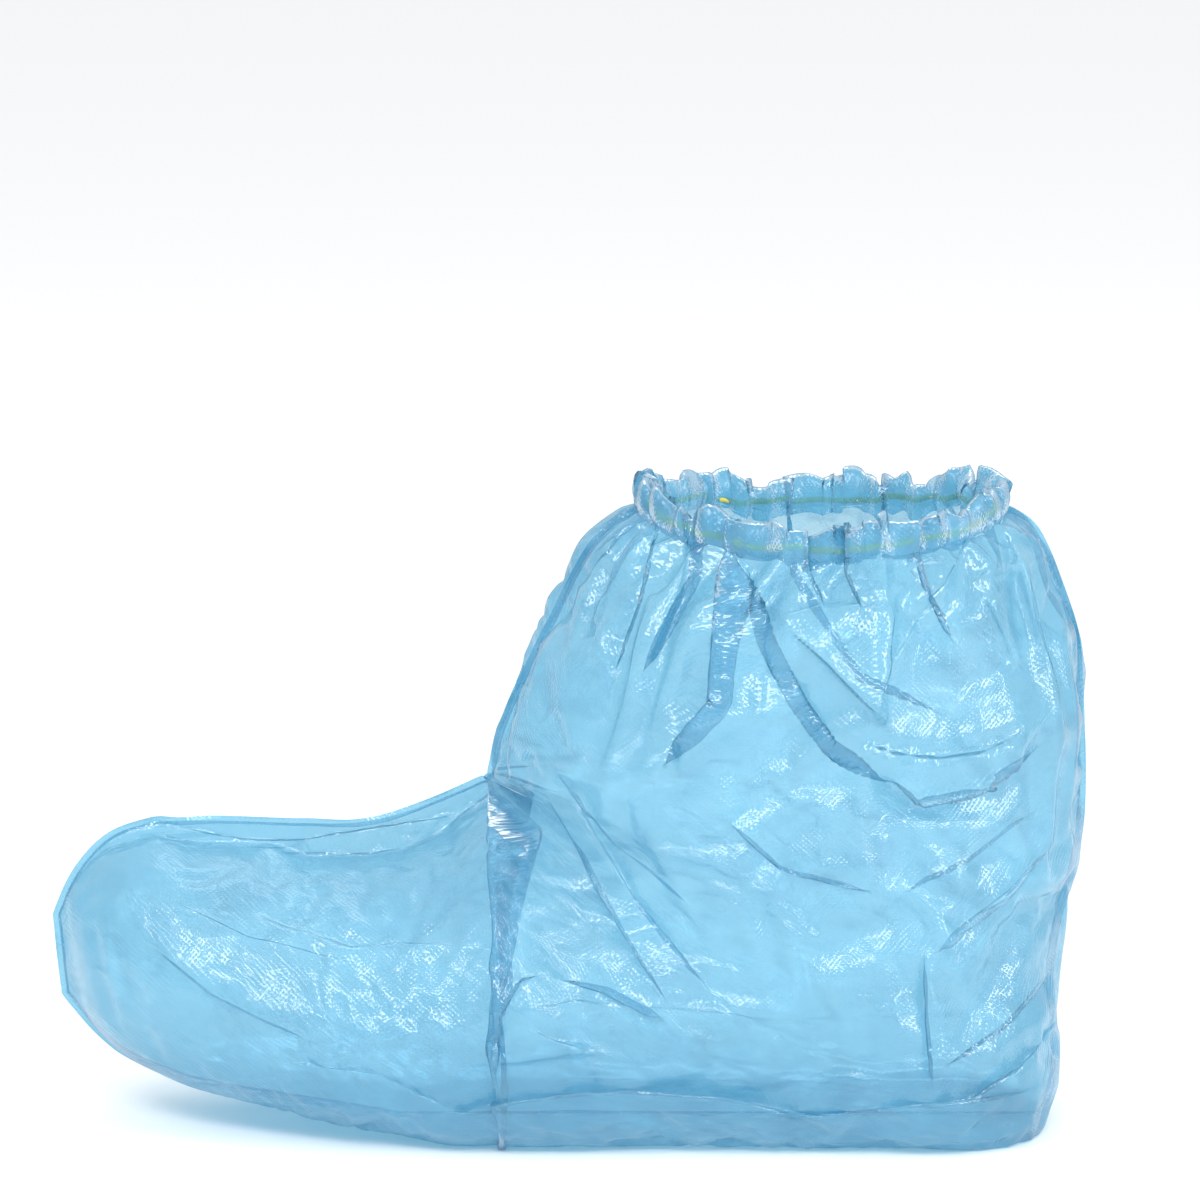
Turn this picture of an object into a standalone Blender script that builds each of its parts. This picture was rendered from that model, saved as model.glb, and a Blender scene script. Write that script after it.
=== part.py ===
"""Ankle-high disposable shoe cover of tinted film, in the form that it has over a shod foot.

Two side panels are cut from thin film and welded together round the instep, toe, sole and heel.
A folded hem closes the top edge and holds an elastic thread that gathers the film round the ankle.
+X runs from the toe to the heel, -Y is the wearer's left side and +Z is up; the floor is at z = 0.
"""

import math
from collections import namedtuple

import bpy
from mathutils import Vector

# Foot and shaft
FOOT_REACH = 0.1335  # toe end of the panels to the front of the shaft
SHAFT_DEPTH = 0.183  # front of the shaft to its back
FOOT_HEIGHT = 0.093  # floor to the top of the panels over the toes
COVER_HEIGHT = 0.200  # floor to the top of the hem
COVER_WIDTH = 0.127  # widest place, across both panels

# Mouth, as the elastic draws it in
MOUTH_LENGTH = 0.112
MOUTH_WIDTH = 0.098
MOUTH_FROM_BACK = 0.080  # centre of the mouth to the back of the panels
MOUTH_DROOP = 0.006  # how far the mouth's sides hang below its front and back

# Film, weld, hem and elastic
FILM_WALL = 0.0012
WELD_REACH = 0.003  # how far the welded edge stands out of the panels
WELD_THICKNESS = 0.0016
HEM_HEIGHT = 0.010
TUNNEL_HEIGHT = 0.0055  # the part of the hem that the elastic runs through
HEM_WALL = 0.001
RUFFLES = 23
RUFFLE_DEPTH = 0.0016
ELASTIC_DIAMETER = 0.0018
FIT_GAP = 0.0003  # between pieces that touch on the real cover
TUNNEL_PLAY = 0.0004  # between the elastic and the hem round it

# Gathers below the hem
GATHERS_PER_SIDE = 6
GATHER_DEPTH = 0.0034
GATHER_DRIFT = 0.16  # how unevenly the gathers are spaced, as a share of one gather

# Places along the length: 0 is the toe end, 1 the front of the shaft, 2 its back.
# Places up the height: 0 is the floor, 1 the top of the foot, 2 the top of the panels.
# rows is how many rows of mesh lead to the section from the one before.
# half_width and gather are shares of COVER_WIDTH / 2 and GATHER_DEPTH.
# belly is how far from front to back a section is widest; the last two are the roundness of
# its front and back halves, where 1 is an ellipse, less is boxy and more is pinched.
Section = namedtuple(
    "Section",
    "rows front_x front_z back_x back_z half_width gather belly front_round back_round",
)
SECTIONS = (
    Section(2, 1.190, 1.890, 1.912, 1.945, 0.84, 1.00, 0.50, 1.00, 1.00),
    Section(2, 1.125, 1.693, 1.952, 1.800, 0.92, 0.80, 0.50, 1.00, 1.00),
    Section(2, 1.065, 1.475, 1.992, 1.545, 0.96, 0.45, 0.50, 1.00, 1.00),
    Section(2, 1.025, 1.300, 2.000, 1.230, 0.98, 0.20, 0.50, 1.00, 1.00),
    Section(2, 1.010, 1.165, 1.995, 0.930, 0.99, 0.05, 0.50, 1.03, 0.97),
    Section(1, 0.992, 1.133, 1.965, 0.720, 1.00, 0.00, 0.51, 1.08, 0.92),
    Section(1, 0.966, 1.115, 1.955, 0.520, 1.00, 0.00, 0.52, 1.14, 0.86),
    Section(1, 0.938, 1.098, 1.962, 0.310, 1.00, 0.00, 0.54, 1.20, 0.76),
    Section(1, 0.907, 1.080, 1.955, 0.130, 1.00, 0.00, 0.55, 1.26, 0.68),
    Section(1, 0.875, 1.063, 1.905, -0.040, 0.99, 0.00, 0.56, 1.32, 0.61),
    Section(1, 0.840, 1.046, 1.760, -0.044, 0.98, 0.00, 0.57, 1.37, 0.58),
    Section(1, 0.800, 1.028, 1.600, -0.044, 0.97, 0.00, 0.58, 1.41, 0.56),
    Section(1, 0.755, 1.012, 1.430, -0.044, 0.96, 0.00, 0.59, 1.44, 0.55),
    Section(1, 0.700, 1.000, 1.270, -0.044, 0.95, 0.00, 0.60, 1.45, 0.55),
    Section(1, 0.640, 0.996, 1.130, -0.044, 0.94, 0.00, 0.60, 1.45, 0.56),
    Section(1, 0.570, 0.996, 1.010, -0.040, 0.92, 0.00, 0.60, 1.45, 0.58),
    Section(2, 0.450, 1.002, 0.835, -0.010, 0.88, 0.00, 0.60, 1.45, 0.62),
    Section(2, 0.325, 1.006, 0.650, 0.035, 0.80, 0.00, 0.59, 1.44, 0.68),
    Section(2, 0.215, 0.996, 0.465, 0.080, 0.68, 0.00, 0.57, 1.38, 0.74),
    Section(2, 0.120, 0.945, 0.285, 0.140, 0.52, 0.00, 0.55, 1.24, 0.80),
    Section(2, 0.045, 0.828, 0.130, 0.245, 0.31, 0.00, 0.52, 1.10, 0.90),
    Section(2, 0.000, 0.689, 0.019, 0.422, 0.00, 0.00, 0.50, 1.00, 1.00),
)
MOUTH_GATHER = 0.42  # share of GATHER_DEPTH at the hem, where the elastic holds the film flattest

# Main folds, each a ridge from one place to another in the side view.
# ahead and behind are how far it spreads towards the toe and towards the heel, as shares of
# FOLD_REACH; height is a share of FOLD_HEIGHT; side is -1 left, 1 right, 0 both.
Fold = namedtuple("Fold", "start_x start_z end_x end_z ahead behind height side")
FOLD_REACH = 0.009
FOLD_HEIGHT = 0.006
FOLDS = (
    Fold(1.02, 1.02, 1.03, 0.12, 1.30, 3.00, 0.95, 0),
    Fold(1.42, 1.95, 1.61, 1.27, 0.80, 0.80, 0.70, -1),
    Fold(1.61, 1.27, 1.72, 1.19, 0.90, 0.90, 0.90, -1),
    Fold(1.72, 1.19, 1.93, 1.36, 0.90, 0.90, 0.90, -1),
    Fold(1.39, 1.98, 1.37, 1.46, 0.80, 0.80, 0.60, -1),
    Fold(1.37, 1.46, 1.27, 1.26, 0.80, 0.80, 0.60, -1),
    Fold(1.28, 1.98, 1.24, 1.50, 0.75, 0.75, 0.55, -1),
    Fold(1.80, 1.93, 1.62, 1.60, 0.80, 0.80, 0.50, -1),
    Fold(1.85, 1.95, 1.88, 1.58, 0.80, 0.80, 0.60, -1),
    Fold(1.12, 1.00, 1.30, 0.50, 1.20, 1.20, 0.70, -1),
    Fold(1.73, 0.62, 1.74, 0.25, 1.00, 1.00, 0.50, -1),
    Fold(1.93, 0.90, 1.76, 0.50, 1.10, 1.10, 0.55, -1),
    Fold(1.33, 1.96, 1.22, 1.34, 0.85, 0.85, 0.70, 1),
    Fold(1.54, 1.96, 1.60, 1.28, 0.80, 0.80, 0.65, 1),
    Fold(1.60, 1.28, 1.86, 1.22, 0.90, 0.90, 0.80, 1),
    Fold(1.74, 1.94, 1.84, 1.50, 0.80, 0.80, 0.60, 1),
    Fold(1.14, 0.98, 1.38, 0.44, 1.20, 1.20, 0.65, 1),
    Fold(1.92, 0.85, 1.70, 0.40, 1.10, 1.10, 0.50, 1),
)

# Mesh density
COLUMNS = 30
DROOP_ROWS = 7  # how many rows from the mouth share its droop
SECTION_SAMPLES = 240
HEM_COLUMNS = 115
ELASTIC_COLUMNS = 60
ELASTIC_SIDES = 6

WELD_HALF = WELD_THICKNESS / 2
PANEL_EDGE = WELD_HALF + FIT_GAP  # distance of each panel's welded edge from the middle plane
PANEL_TOP = COVER_HEIGHT - HEM_HEIGHT - FIT_GAP
HALF_WIDTH = COVER_WIDTH / 2 - PANEL_EDGE
TOE_X = -(FOOT_REACH + SHAFT_DEPTH) / 2
SHAFT_FRONT_X = TOE_X + FOOT_REACH
BACK_X = SHAFT_FRONT_X + SHAFT_DEPTH
TUNNEL_WIDTH = ELASTIC_DIAMETER + 2 * TUNNEL_PLAY


def along(place):
    """The x of a place along the length."""
    if place <= 1:
        return TOE_X + place * FOOT_REACH
    return SHAFT_FRONT_X + (place - 1) * SHAFT_DEPTH


def up(place):
    """The z of a place up the height."""
    if place <= 1:
        return place * FOOT_HEIGHT
    return FOOT_HEIGHT + (place - 1) * (PANEL_TOP - FOOT_HEIGHT)


def mouth_section():
    """The top section, where the elastic sets the size."""
    middle = BACK_X - MOUTH_FROM_BACK
    return (
        (middle - MOUTH_LENGTH / 2, PANEL_TOP),
        (middle + MOUTH_LENGTH / 2, PANEL_TOP),
        (MOUTH_WIDTH / 2 - PANEL_EDGE, MOUTH_GATHER * GATHER_DEPTH, 0.5, 1.0, 1.0),
    )


def measured(section):
    """A table row in metres: its front and back points, and its shape."""
    return (
        (along(section.front_x), up(section.front_z)),
        (along(section.back_x), up(section.back_z)),
        (
            section.half_width * HALF_WIDTH,
            section.gather * GATHER_DEPTH,
            section.belly,
            section.front_round,
            section.back_round,
        ),
    )


def smooth(before, start, end, after, share):
    """A point on the smooth curve from start to end."""
    slope_start = (end - before) / 2
    slope_end = (after - start) / 2
    cubic = 2 * (start - end) + slope_start + slope_end
    square = 3 * (end - start) - 2 * slope_start - slope_end
    return ((cubic * share + square) * share + slope_start) * share + start


def mesh_rows():
    """The shape of each row of mesh from the mouth to the toe."""
    shapes = []
    for front, back, shape in [mouth_section()] + [measured(s) for s in SECTIONS]:
        shapes.append((*front, *back, *shape))
    last = len(shapes) - 1
    found = []
    for index, section in enumerate(SECTIONS):
        near = [shapes[max(index - 1, 0)], shapes[index], shapes[index + 1], shapes[min(index + 2, last)]]
        for step in range(section.rows):
            share = step / section.rows
            found.append([smooth(*values, share) for values in zip(*near)])
    found.append(list(shapes[-1]))
    return found


def evenly_spaced(points, count):
    """count + 1 points at even distances along a line of points."""
    lengths = [0.0]
    for first, second in zip(points, points[1:]):
        lengths.append(lengths[-1] + (second - first).length)
    found = []
    segment = 0
    for index in range(count + 1):
        wanted = lengths[-1] * index / count
        while segment < len(lengths) - 2 and lengths[segment + 1] < wanted:
            segment += 1
        span = lengths[segment + 1] - lengths[segment]
        share = (wanted - lengths[segment]) / span if span > 0 else 0.0
        found.append(points[segment].lerp(points[segment + 1], min(max(share, 0.0), 1.0)))
    return found


def section_outline(row, side):
    """One panel's stretch of a section, from the front weld round to the back or bottom weld."""
    front_x, front_z, back_x, back_z, half_width, _, belly, front_round, back_round = row
    dense = []
    for index in range(SECTION_SAMPLES + 1):
        angle = math.pi * index / SECTION_SAMPLES
        cosine = abs(math.cos(angle))
        if angle <= math.pi / 2:
            chord = belly * (1 - cosine**front_round)
            width = abs(math.sin(angle)) ** front_round
        else:
            chord = belly + (1 - belly) * cosine**back_round
            width = abs(math.sin(angle)) ** back_round
        x = front_x + (back_x - front_x) * chord
        z = front_z + (back_z - front_z) * chord
        dense.append(Vector((x, side * (PANEL_EDGE + half_width * width), z)))
    return evenly_spaced(dense, COLUMNS)


def gather_wave(column):
    """The gathers' height at a column, from -1 to 1, with a crest on each weld."""
    turn = column / COLUMNS * GATHERS_PER_SIDE
    drift = GATHER_DRIFT * math.sin(math.pi * column / COLUMNS) * math.sin(1.7 * turn)
    return math.cos(2 * math.pi * (turn + drift))


def fold_height(x, z, side):
    """How far the main folds lift the film at a place in the side view."""
    height = 0.0
    for fold in FOLDS:
        if fold.side not in (0, side):
            continue
        start_x, start_z = along(fold.start_x), up(fold.start_z)
        run_x, run_z = along(fold.end_x) - start_x, up(fold.end_z) - start_z
        share = ((x - start_x) * run_x + (z - start_z) * run_z) / (run_x**2 + run_z**2)
        inside = min(max(share, 0.0), 1.0)
        away_x, away_z = x - start_x - inside * run_x, z - start_z - inside * run_z
        behind = away_x * run_z - away_z * run_x < 0 if run_z < 0 else away_x > 0
        reach = (fold.behind if behind else fold.ahead) * FOLD_REACH
        ridge = fold.height * FOLD_HEIGHT * math.exp(-(away_x**2 + away_z**2) / reach**2)
        height = max(height, ridge)
    return height


def grid_normal(grid, row, column, side):
    """The outward direction of the film at a grid point; it lies in the middle plane on a weld."""
    last_row, last_column = len(grid) - 1, COLUMNS
    down = grid[min(row + 1, last_row)][column] - grid[max(row - 1, 0)][column]
    across = grid[row][min(column + 1, last_column)] - grid[row][max(column - 1, 0)]
    normal = across.cross(down) * side
    if column in (0, last_column) or row == last_row:
        normal.y = 0
    return normal.normalized()


def tip_normal(grid, column):
    """The outward direction along the toe's welded edge."""
    edge = grid[-1][COLUMNS] - grid[-1][0]
    return Vector((edge.z, 0, -edge.x)).normalized()


def outward(grid, row, column, side):
    if row == len(grid) - 1 and 0 < column < COLUMNS:
        return tip_normal(grid, column)
    return grid_normal(grid, row, column, side)


def panel_grid(side):
    """The outer face of a panel: rows from the mouth to the toe, columns from front to back."""
    rows = mesh_rows()
    plain = [section_outline(row, side) for row in rows]
    for index in range(DROOP_ROWS):
        for point in plain[index]:
            across = min(abs(point.y) / (MOUTH_WIDTH / 2), 1.0)
            point.z -= MOUTH_DROOP * across**2 * (1 - index / DROOP_ROWS)
    shaped = []
    for index, row in enumerate(rows):
        line = []
        for column, point in enumerate(plain[index]):
            normal = outward(plain, index, column, side)
            lift = row[5] * gather_wave(column)
            if 0 < column < COLUMNS:
                from_mouth = min(1.0, index / SECTIONS[0].rows)
                lift += fold_height(point.x, point.z, side) * row[4] / HALF_WIDTH * from_mouth
            moved = point + normal * lift
            moved.z = max(moved.z, 0.0)
            moved.y = side * max(abs(moved.y), PANEL_EDGE)
            line.append(moved)
        shaped.append(line)
    return shaped


def inner_grid(grid, side):
    """The inner face of a panel, one wall inside the outer face."""
    found = []
    for row in range(len(grid)):
        line = []
        for column, point in enumerate(grid[row]):
            moved = point - outward(grid, row, column, side) * FILM_WALL
            moved.z = max(moved.z, FILM_WALL)
            if row == 0:
                moved.z = point.z
            moved.y = side * max(abs(moved.y), PANEL_EDGE)
            line.append(moved)
        found.append(line)
    return found


def material(name, colour, roughness, alpha=1.0):
    made = bpy.data.materials.new(name)
    made.use_nodes = True
    shader = made.node_tree.nodes["Principled BSDF"]
    shader.inputs["Base Color"].default_value = (*colour, 1)
    shader.inputs["Roughness"].default_value = roughness
    shader.inputs["Metallic"].default_value = 0
    shader.inputs["Alpha"].default_value = alpha
    return made


def add_object(name, points, faces, finish):
    mesh = bpy.data.meshes.new(name)
    mesh.from_pydata([tuple(p) for p in points], [], faces)
    mesh.materials.append(finish)
    mesh.validate()
    mesh.shade_smooth()
    made = bpy.data.objects.new(name, mesh)
    bpy.context.scene.collection.objects.link(made)
    return made


def add_panel(name, side, finish):
    """One side panel, a wall between its outer and inner faces."""
    outer = panel_grid(side)
    inner = inner_grid(outer, side)
    rows, columns = len(outer), COLUMNS + 1
    points = [p for line in outer for p in line] + [p for line in inner for p in line]
    skin = rows * columns

    def at(row, column, layer):
        return layer * skin + row * columns + column

    faces = []
    for row in range(rows - 1):
        for column in range(columns - 1):
            corners = [(row, column), (row, column + 1), (row + 1, column + 1), (row + 1, column)]
            faces.append([at(*c, 0) for c in corners])
            faces.append([at(*c, 1) for c in reversed(corners)])
    rim = [(0, c) for c in range(columns)]
    rim += [(r, columns - 1) for r in range(1, rows)]
    rim += [(rows - 1, c) for c in range(columns - 2, -1, -1)]
    rim += [(r, 0) for r in range(rows - 2, 0, -1)]
    for first, second in zip(rim, rim[1:] + rim[:1]):
        faces.append([at(*second, 0), at(*first, 0), at(*first, 1), at(*second, 1)])
    if side < 0:
        faces = [list(reversed(f)) for f in faces]
    add_object(name, points, faces, finish)
    return outer


def ring_faces(count, sides, closed):
    """Faces of a swept outline: count sections of so many sides each, with end caps if it is open."""
    faces = []
    for index in range(count if closed else count - 1):
        after = (index + 1) % count
        for corner in range(sides):
            beside = (corner + 1) % sides
            faces.append(
                [index * sides + corner, index * sides + beside, after * sides + beside, after * sides + corner]
            )
    if not closed:
        faces.append(list(range(sides))[::-1])
        faces.append([(count - 1) * sides + corner for corner in range(sides)])
    return faces


def add_edge_weld(panel, finish):
    """The welded edge: a thin strip in the middle plane that follows the panels' outline."""
    last = len(panel) - 1
    path = [(row, 0) for row in range(last)]
    path += [(last, column) for column in range(COLUMNS + 1)]
    path += [(row, COLUMNS) for row in range(last - 1, -1, -1)]
    points = []
    for row, column in path:
        point = panel[row][column]
        direction = grid_normal(panel, row, column, -1)
        if row == last:
            direction = tip_normal(panel, column)
        tip = point + direction * WELD_REACH
        root = point - direction * FILM_WALL
        if row == 0:
            tip.z = point.z
            root.z = point.z
        tip.z = max(tip.z, 0.0)
        root.z = max(root.z, FILM_WALL)
        points += [
            (root.x, WELD_HALF, root.z),
            (root.x, -WELD_HALF, root.z),
            (tip.x, -WELD_HALF, tip.z),
            (tip.x, WELD_HALF, tip.z),
        ]
    add_object("edge_weld", points, ring_faces(len(path), 4, closed=False), finish)


def mouth_ring(left, right, count):
    """The top edge of both panels as a closed ring, each point with its outward direction."""
    edge = left[0] + right[0][::-1] + left[0][:1]
    ring = evenly_spaced(edge, count)[:-1]
    found = []
    for index, point in enumerate(ring):
        run = ring[(index + 1) % count] - ring[index - 1]
        found.append((point, Vector((run.y, -run.x, 0)).normalized()))
    return found


def add_hem(ring, finish):
    """The hem: film folded inwards over the elastic, with a ruffled edge above its tunnel."""
    full = 2 * HEM_WALL + TUNNEL_WIDTH
    tunnel_top = FIT_GAP + TUNNEL_HEIGHT
    top = FIT_GAP + HEM_HEIGHT
    edge = (full - 2 * HEM_WALL) / 2
    points = []
    for index, (point, direction) in enumerate(ring):
        ruffle = RUFFLE_DEPTH * math.sin(2 * math.pi * RUFFLES * index / len(ring))
        outline = (
            (-HEM_WALL, FIT_GAP),
            (-HEM_WALL, tunnel_top - HEM_WALL),
            (-full + HEM_WALL, tunnel_top - HEM_WALL),
            (-full + HEM_WALL, FIT_GAP),
            (-full, FIT_GAP),
            (-full, tunnel_top),
            (-full + edge + ruffle, top),
            (-edge + ruffle, top),
            (0, tunnel_top),
            (0, FIT_GAP),
        )
        points += [point + direction * out + Vector((0, 0, rise)) for out, rise in outline]
    add_object("hem_tunnel", points, ring_faces(len(ring), 10, closed=True), finish)


def add_elastic(ring, finish):
    """The elastic thread, a closed loop inside the hem."""
    radius = ELASTIC_DIAMETER / 2
    middle_out = -(HEM_WALL + TUNNEL_WIDTH / 2)
    middle_up = FIT_GAP + (TUNNEL_HEIGHT - HEM_WALL) / 2
    points = []
    for point, direction in ring:
        for corner in range(ELASTIC_SIDES):
            angle = -2 * math.pi * corner / ELASTIC_SIDES
            out = middle_out - radius * math.cos(angle)
            points.append(point + direction * out + Vector((0, 0, middle_up - radius * math.sin(angle))))
    add_object("elastic_thread", points, ring_faces(len(ring), ELASTIC_SIDES, closed=True), finish)


def main():
    for old in list(bpy.data.objects):
        bpy.data.objects.remove(old, do_unlink=True)
    film = material("tinted_film", (0.09, 0.47, 0.72), 0.12, alpha=0.5)
    welded_film = material("welded_film", (0.06, 0.40, 0.66), 0.25, alpha=0.7)
    latex = material("latex", (0.62, 0.55, 0.14), 0.5)
    left = add_panel("left_panel", -1, film)
    right = add_panel("right_panel", 1, film)
    add_edge_weld(left, welded_film)
    add_hem(mouth_ring(left, right, HEM_COLUMNS), film)
    add_elastic(mouth_ring(left, right, ELASTIC_COLUMNS), latex)


main()
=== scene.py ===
"""Dresses the frame of a worn film shoe cover: its film, weld, gathered hem and elastic."""

import math
from collections import namedtuple

import bpy
import numpy as np
from bpy.props import FloatProperty, FloatVectorProperty, PointerProperty
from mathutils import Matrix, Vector, geometry


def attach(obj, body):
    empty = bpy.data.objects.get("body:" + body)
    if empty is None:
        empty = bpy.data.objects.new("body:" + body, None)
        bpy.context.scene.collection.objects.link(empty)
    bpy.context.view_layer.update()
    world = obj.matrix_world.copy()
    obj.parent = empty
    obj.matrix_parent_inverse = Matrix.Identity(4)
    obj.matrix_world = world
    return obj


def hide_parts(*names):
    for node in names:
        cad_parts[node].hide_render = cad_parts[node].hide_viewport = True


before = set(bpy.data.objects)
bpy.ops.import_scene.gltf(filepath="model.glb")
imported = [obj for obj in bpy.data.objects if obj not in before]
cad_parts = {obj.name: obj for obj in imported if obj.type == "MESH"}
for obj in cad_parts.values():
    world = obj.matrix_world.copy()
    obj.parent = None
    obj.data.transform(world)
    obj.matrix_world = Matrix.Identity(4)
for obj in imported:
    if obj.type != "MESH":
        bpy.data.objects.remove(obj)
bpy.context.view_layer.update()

bl_info = {
    "name": "Film Shoe Cover",
    "version": (1, 0, 0),
    "blender": (4, 5, 0),
    "location": "3D View > Sidebar > Shoe Cover",
    "description": "Adds the film, weld, hem and elastic of a worn disposable shoe cover",
    "category": "Object",
}

# Sizes of the frame that the film follows
FOOT_REACH = 0.1335
SHAFT_DEPTH = 0.183
FOOT_HEIGHT = 0.093
COVER_HEIGHT = 0.200
COVER_WIDTH = 0.127
MOUTH_LENGTH = 0.112
MOUTH_WIDTH = 0.098
MOUTH_FROM_BACK = 0.080
MOUTH_DROOP = 0.006
HEM_HEIGHT = 0.010
FIT_GAP = 0.0003
FILM_FROM_MIDDLE = 0.0005

PANEL_TOP = COVER_HEIGHT - HEM_HEIGHT - FIT_GAP
HALF_WIDTH = COVER_WIDTH / 2 - FILM_FROM_MIDDLE
TOE_X = -(FOOT_REACH + SHAFT_DEPTH) / 2
SHAFT_FRONT_X = TOE_X + FOOT_REACH
BACK_X = SHAFT_FRONT_X + SHAFT_DEPTH
FLOOR_CLEARANCE = 0.0003

# The film's sections from the mouth to the toe. Places along the length are 0 at the toe end,
# 1 at the front of the shaft and 2 at its back; up the height they are 0 at the floor, 1 at the
# top of the foot and 2 at the top of the panels. half_width is a share of HALF_WIDTH, bow pushes
# the section's upper part towards the heel, in metres, and fin is the share of the section, from
# its front seam, over which the two panels lie close together.
Section = namedtuple(
    "Section",
    "rows front_x front_z back_x back_z half_width bow fin belly front_round back_round",
)
SECTIONS = (
    Section(4, 1.19, 1.89, 1.912, 1.945, 0.84, 0, 0, 0.5, 1, 1),
    Section(5, 1.125, 1.693, 1.952, 1.8, 0.92, 0, 0, 0.5, 1, 1),
    Section(6, 1.065, 1.475, 1.992, 1.545, 0.96, 0, 0, 0.5, 1, 1),
    Section(5, 1.025, 1.3, 2, 1.23, 0.98, 0, 0, 0.5, 1, 1),
    Section(6, 1.01, 1.165, 1.995, 0.93, 0.99, 0, 0, 0.5, 1.03, 0.97),
    Section(5, 1.008, 1.162, 1.965, 0.7, 1, 0, 0, 0.51, 1.08, 0.92),
    Section(5, 1.006, 1.159, 1.95, 0.47, 1, 0, 0, 0.52, 1.14, 0.86),
    Section(5, 1.005, 1.157, 1.958, 0.27, 1, 0, 0, 0.53, 1.18, 0.78),
    Section(4, 1.004, 1.155, 1.955, 0.11, 1, 0, 0, 0.54, 1.2, 0.7),
    Section(4, 1.003, 1.153, 1.905, -0.04, 0.99, 0, 0, 0.54, 1.22, 0.63),
    Section(6, 1.002, 1.151, 1.72, -0.044, 0.98, 0, 0, 0.54, 1.22, 0.58),
    Section(7, 1.001, 1.149, 1.5, -0.044, 0.98, 0, 0, 0.54, 1.2, 0.56),
    Section(7, 1, 1.147, 1.27, -0.044, 0.99, 0, 0, 0.54, 1.15, 0.55),
    Section(7, 0.999, 1.145, 1.034, -0.044, 1, 0, 0, 0.54, 1.1, 0.55),
    Section(3, 1, 1.143, 1.031, -0.044, 0.975, 0.016, 0.02, 0.55, 1.15, 0.55),
    Section(3, 0.996, 1.14, 1.026, -0.044, 0.945, 0.001, 0.06, 0.56, 1.15, 0.56),
    Section(4, 0.9, 1.082, 0.975, -0.04, 0.935, 0, 0.09, 0.58, 1.18, 0.58),
    Section(4, 0.8, 1.03, 0.91, -0.03, 0.92, 0, 0.1, 0.59, 1.18, 0.6),
    Section(4, 0.7, 1, 0.84, -0.01, 0.9, 0, 0.1, 0.6, 1.18, 0.62),
    Section(4, 0.58, 0.996, 0.75, 0.015, 0.87, 0, 0.1, 0.6, 1.18, 0.64),
    Section(5, 0.45, 1.002, 0.65, 0.04, 0.83, 0, 0.09, 0.6, 1.18, 0.67),
    Section(5, 0.325, 1.006, 0.53, 0.068, 0.77, 0, 0.08, 0.59, 1.18, 0.7),
    Section(4, 0.215, 0.996, 0.4, 0.1, 0.67, 0, 0.06, 0.57, 1.16, 0.75),
    Section(4, 0.12, 0.945, 0.262, 0.15, 0.52, 0, 0.04, 0.55, 1.12, 0.8),
    Section(4, 0.045, 0.828, 0.13, 0.245, 0.31, 0, 0.02, 0.52, 1.1, 0.9),
    Section(3, 0, 0.689, 0.019, 0.422, 0, 0, 0, 0.5, 1, 1),
)
BOW_FROM, BOW_TO = 0.10, 0.68  # shares of a section between which its bow is greatest and gone
SHAFT_ROWS = sum(s.rows for s in SECTIONS[:5])
COLUMNS = 62
SECTION_SAMPLES = 360
FIN_STEPS = 30
FIN_WIDTH = 0.03  # share of the section's half width that the fin opens to
FINER = 3  # steps of the finished film for each step of the settled one

# Creases of the panels in the side view, each through its corners: distances from the toe end and
# from the floor, and how far the film stands out there, all in millimetres.
LEFT_CREASES = (
    ((208, 190, 2.0), (206, 166, 4.5), (204, 138, 4.0), (186, 120, 2.0)),
    ((213, 180, -2.5), (218, 161, -3.0), (228, 140, -2.5), (238, 127, -1.5), (258, 115, -1.5)),
    ((224, 165, 5.5), (254, 171, 4.5)),
    ((224, 165, 5.5), (251, 141, 1.0)),
    ((254, 171, 4.5), (251, 141, 1.0), (258, 155, 2.5), (281, 187, 3.0)),
    (
        (247, 131, 4.0), (258, 127, 5.0), (270, 125, 5.2),
        (282, 124, 5.0), (296, 128, 4.2), (304, 127, 2.5),
    ),
    ((250, 127, 0.5), (264, 113, -2.0), (281, 113, -2.0), (294, 118, -1.0), (301, 124, 0.5)),
    ((286, 170, 3.0), (290, 161, 3.0), (295, 151, 1.0)),
    ((192, 189, 3.5), (184, 156, 2.0), (181, 145, 0.5)),
    ((195, 180, -2.0), (187, 165, -1.0)),
    ((172, 192, 2.5), (151, 170, 1.5)),
    ((176, 184, -1.5), (154, 160, -1.0)),
    ((181, 176, 1.5), (160, 148, 0.8)),
    ((139, 30, 3.0), (140, 51, 3.5), (145, 59, 3.0), (160, 57, -1.0)),
    ((142, 30, -1.0), (148, 42, 3.5), (161, 37, 1.0)),
    ((158, 57, 3.0), (176, 51, 0.5)),
    ((170, 60, 2.5), (187, 46, 0.5)),
    ((74, 40, 1.2), (98, 31, 1.6), (122, 18, 1.0)),
    ((117, 13, 1.2), (176, 22, 1.2), (232, 15, 1.2), (300, 20, 2.0)),
    ((267, 61, 2.4), (269, 24, 1.2)),
    ((277, 30, 1.0), (306, 42, 2.4)),
    ((281, 24, -1.2), (308, 28, 1.6)),
    ((282, 40, -1.0), (308, 60, 2.0)),
    ((196, 108, 1.2), (214, 84, -0.8)),
    ((236, 96, 1.2), (262, 74, -0.8)),
)
RIGHT_CREASES = (
    ((206, 188, 3.5), (200, 140, 2.0), (182, 112, 0.5)),
    ((236, 189, 3.5), (240, 150, 2.5), (262, 122, 0.5), (300, 134, 3.0)),
    ((266, 186, 3.0), (284, 146, 1.0)),
    ((180, 186, 3.0), (166, 150, 1.0)),
    ((144, 56, 3.5), (166, 40, 0.5)),
    ((150, 96, 2.5), (184, 62, 0.5)),
    ((262, 66, 2.2), (304, 36, 0.8)),
    ((118, 16, 1.4), (220, 18, 1.2), (304, 24, 1.8)),
    ((60, 46, 1.0), (112, 24, 1.4)),
)
LOOSE_POINTS = 130  # places between the creases where the film stands in or out a little
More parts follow.
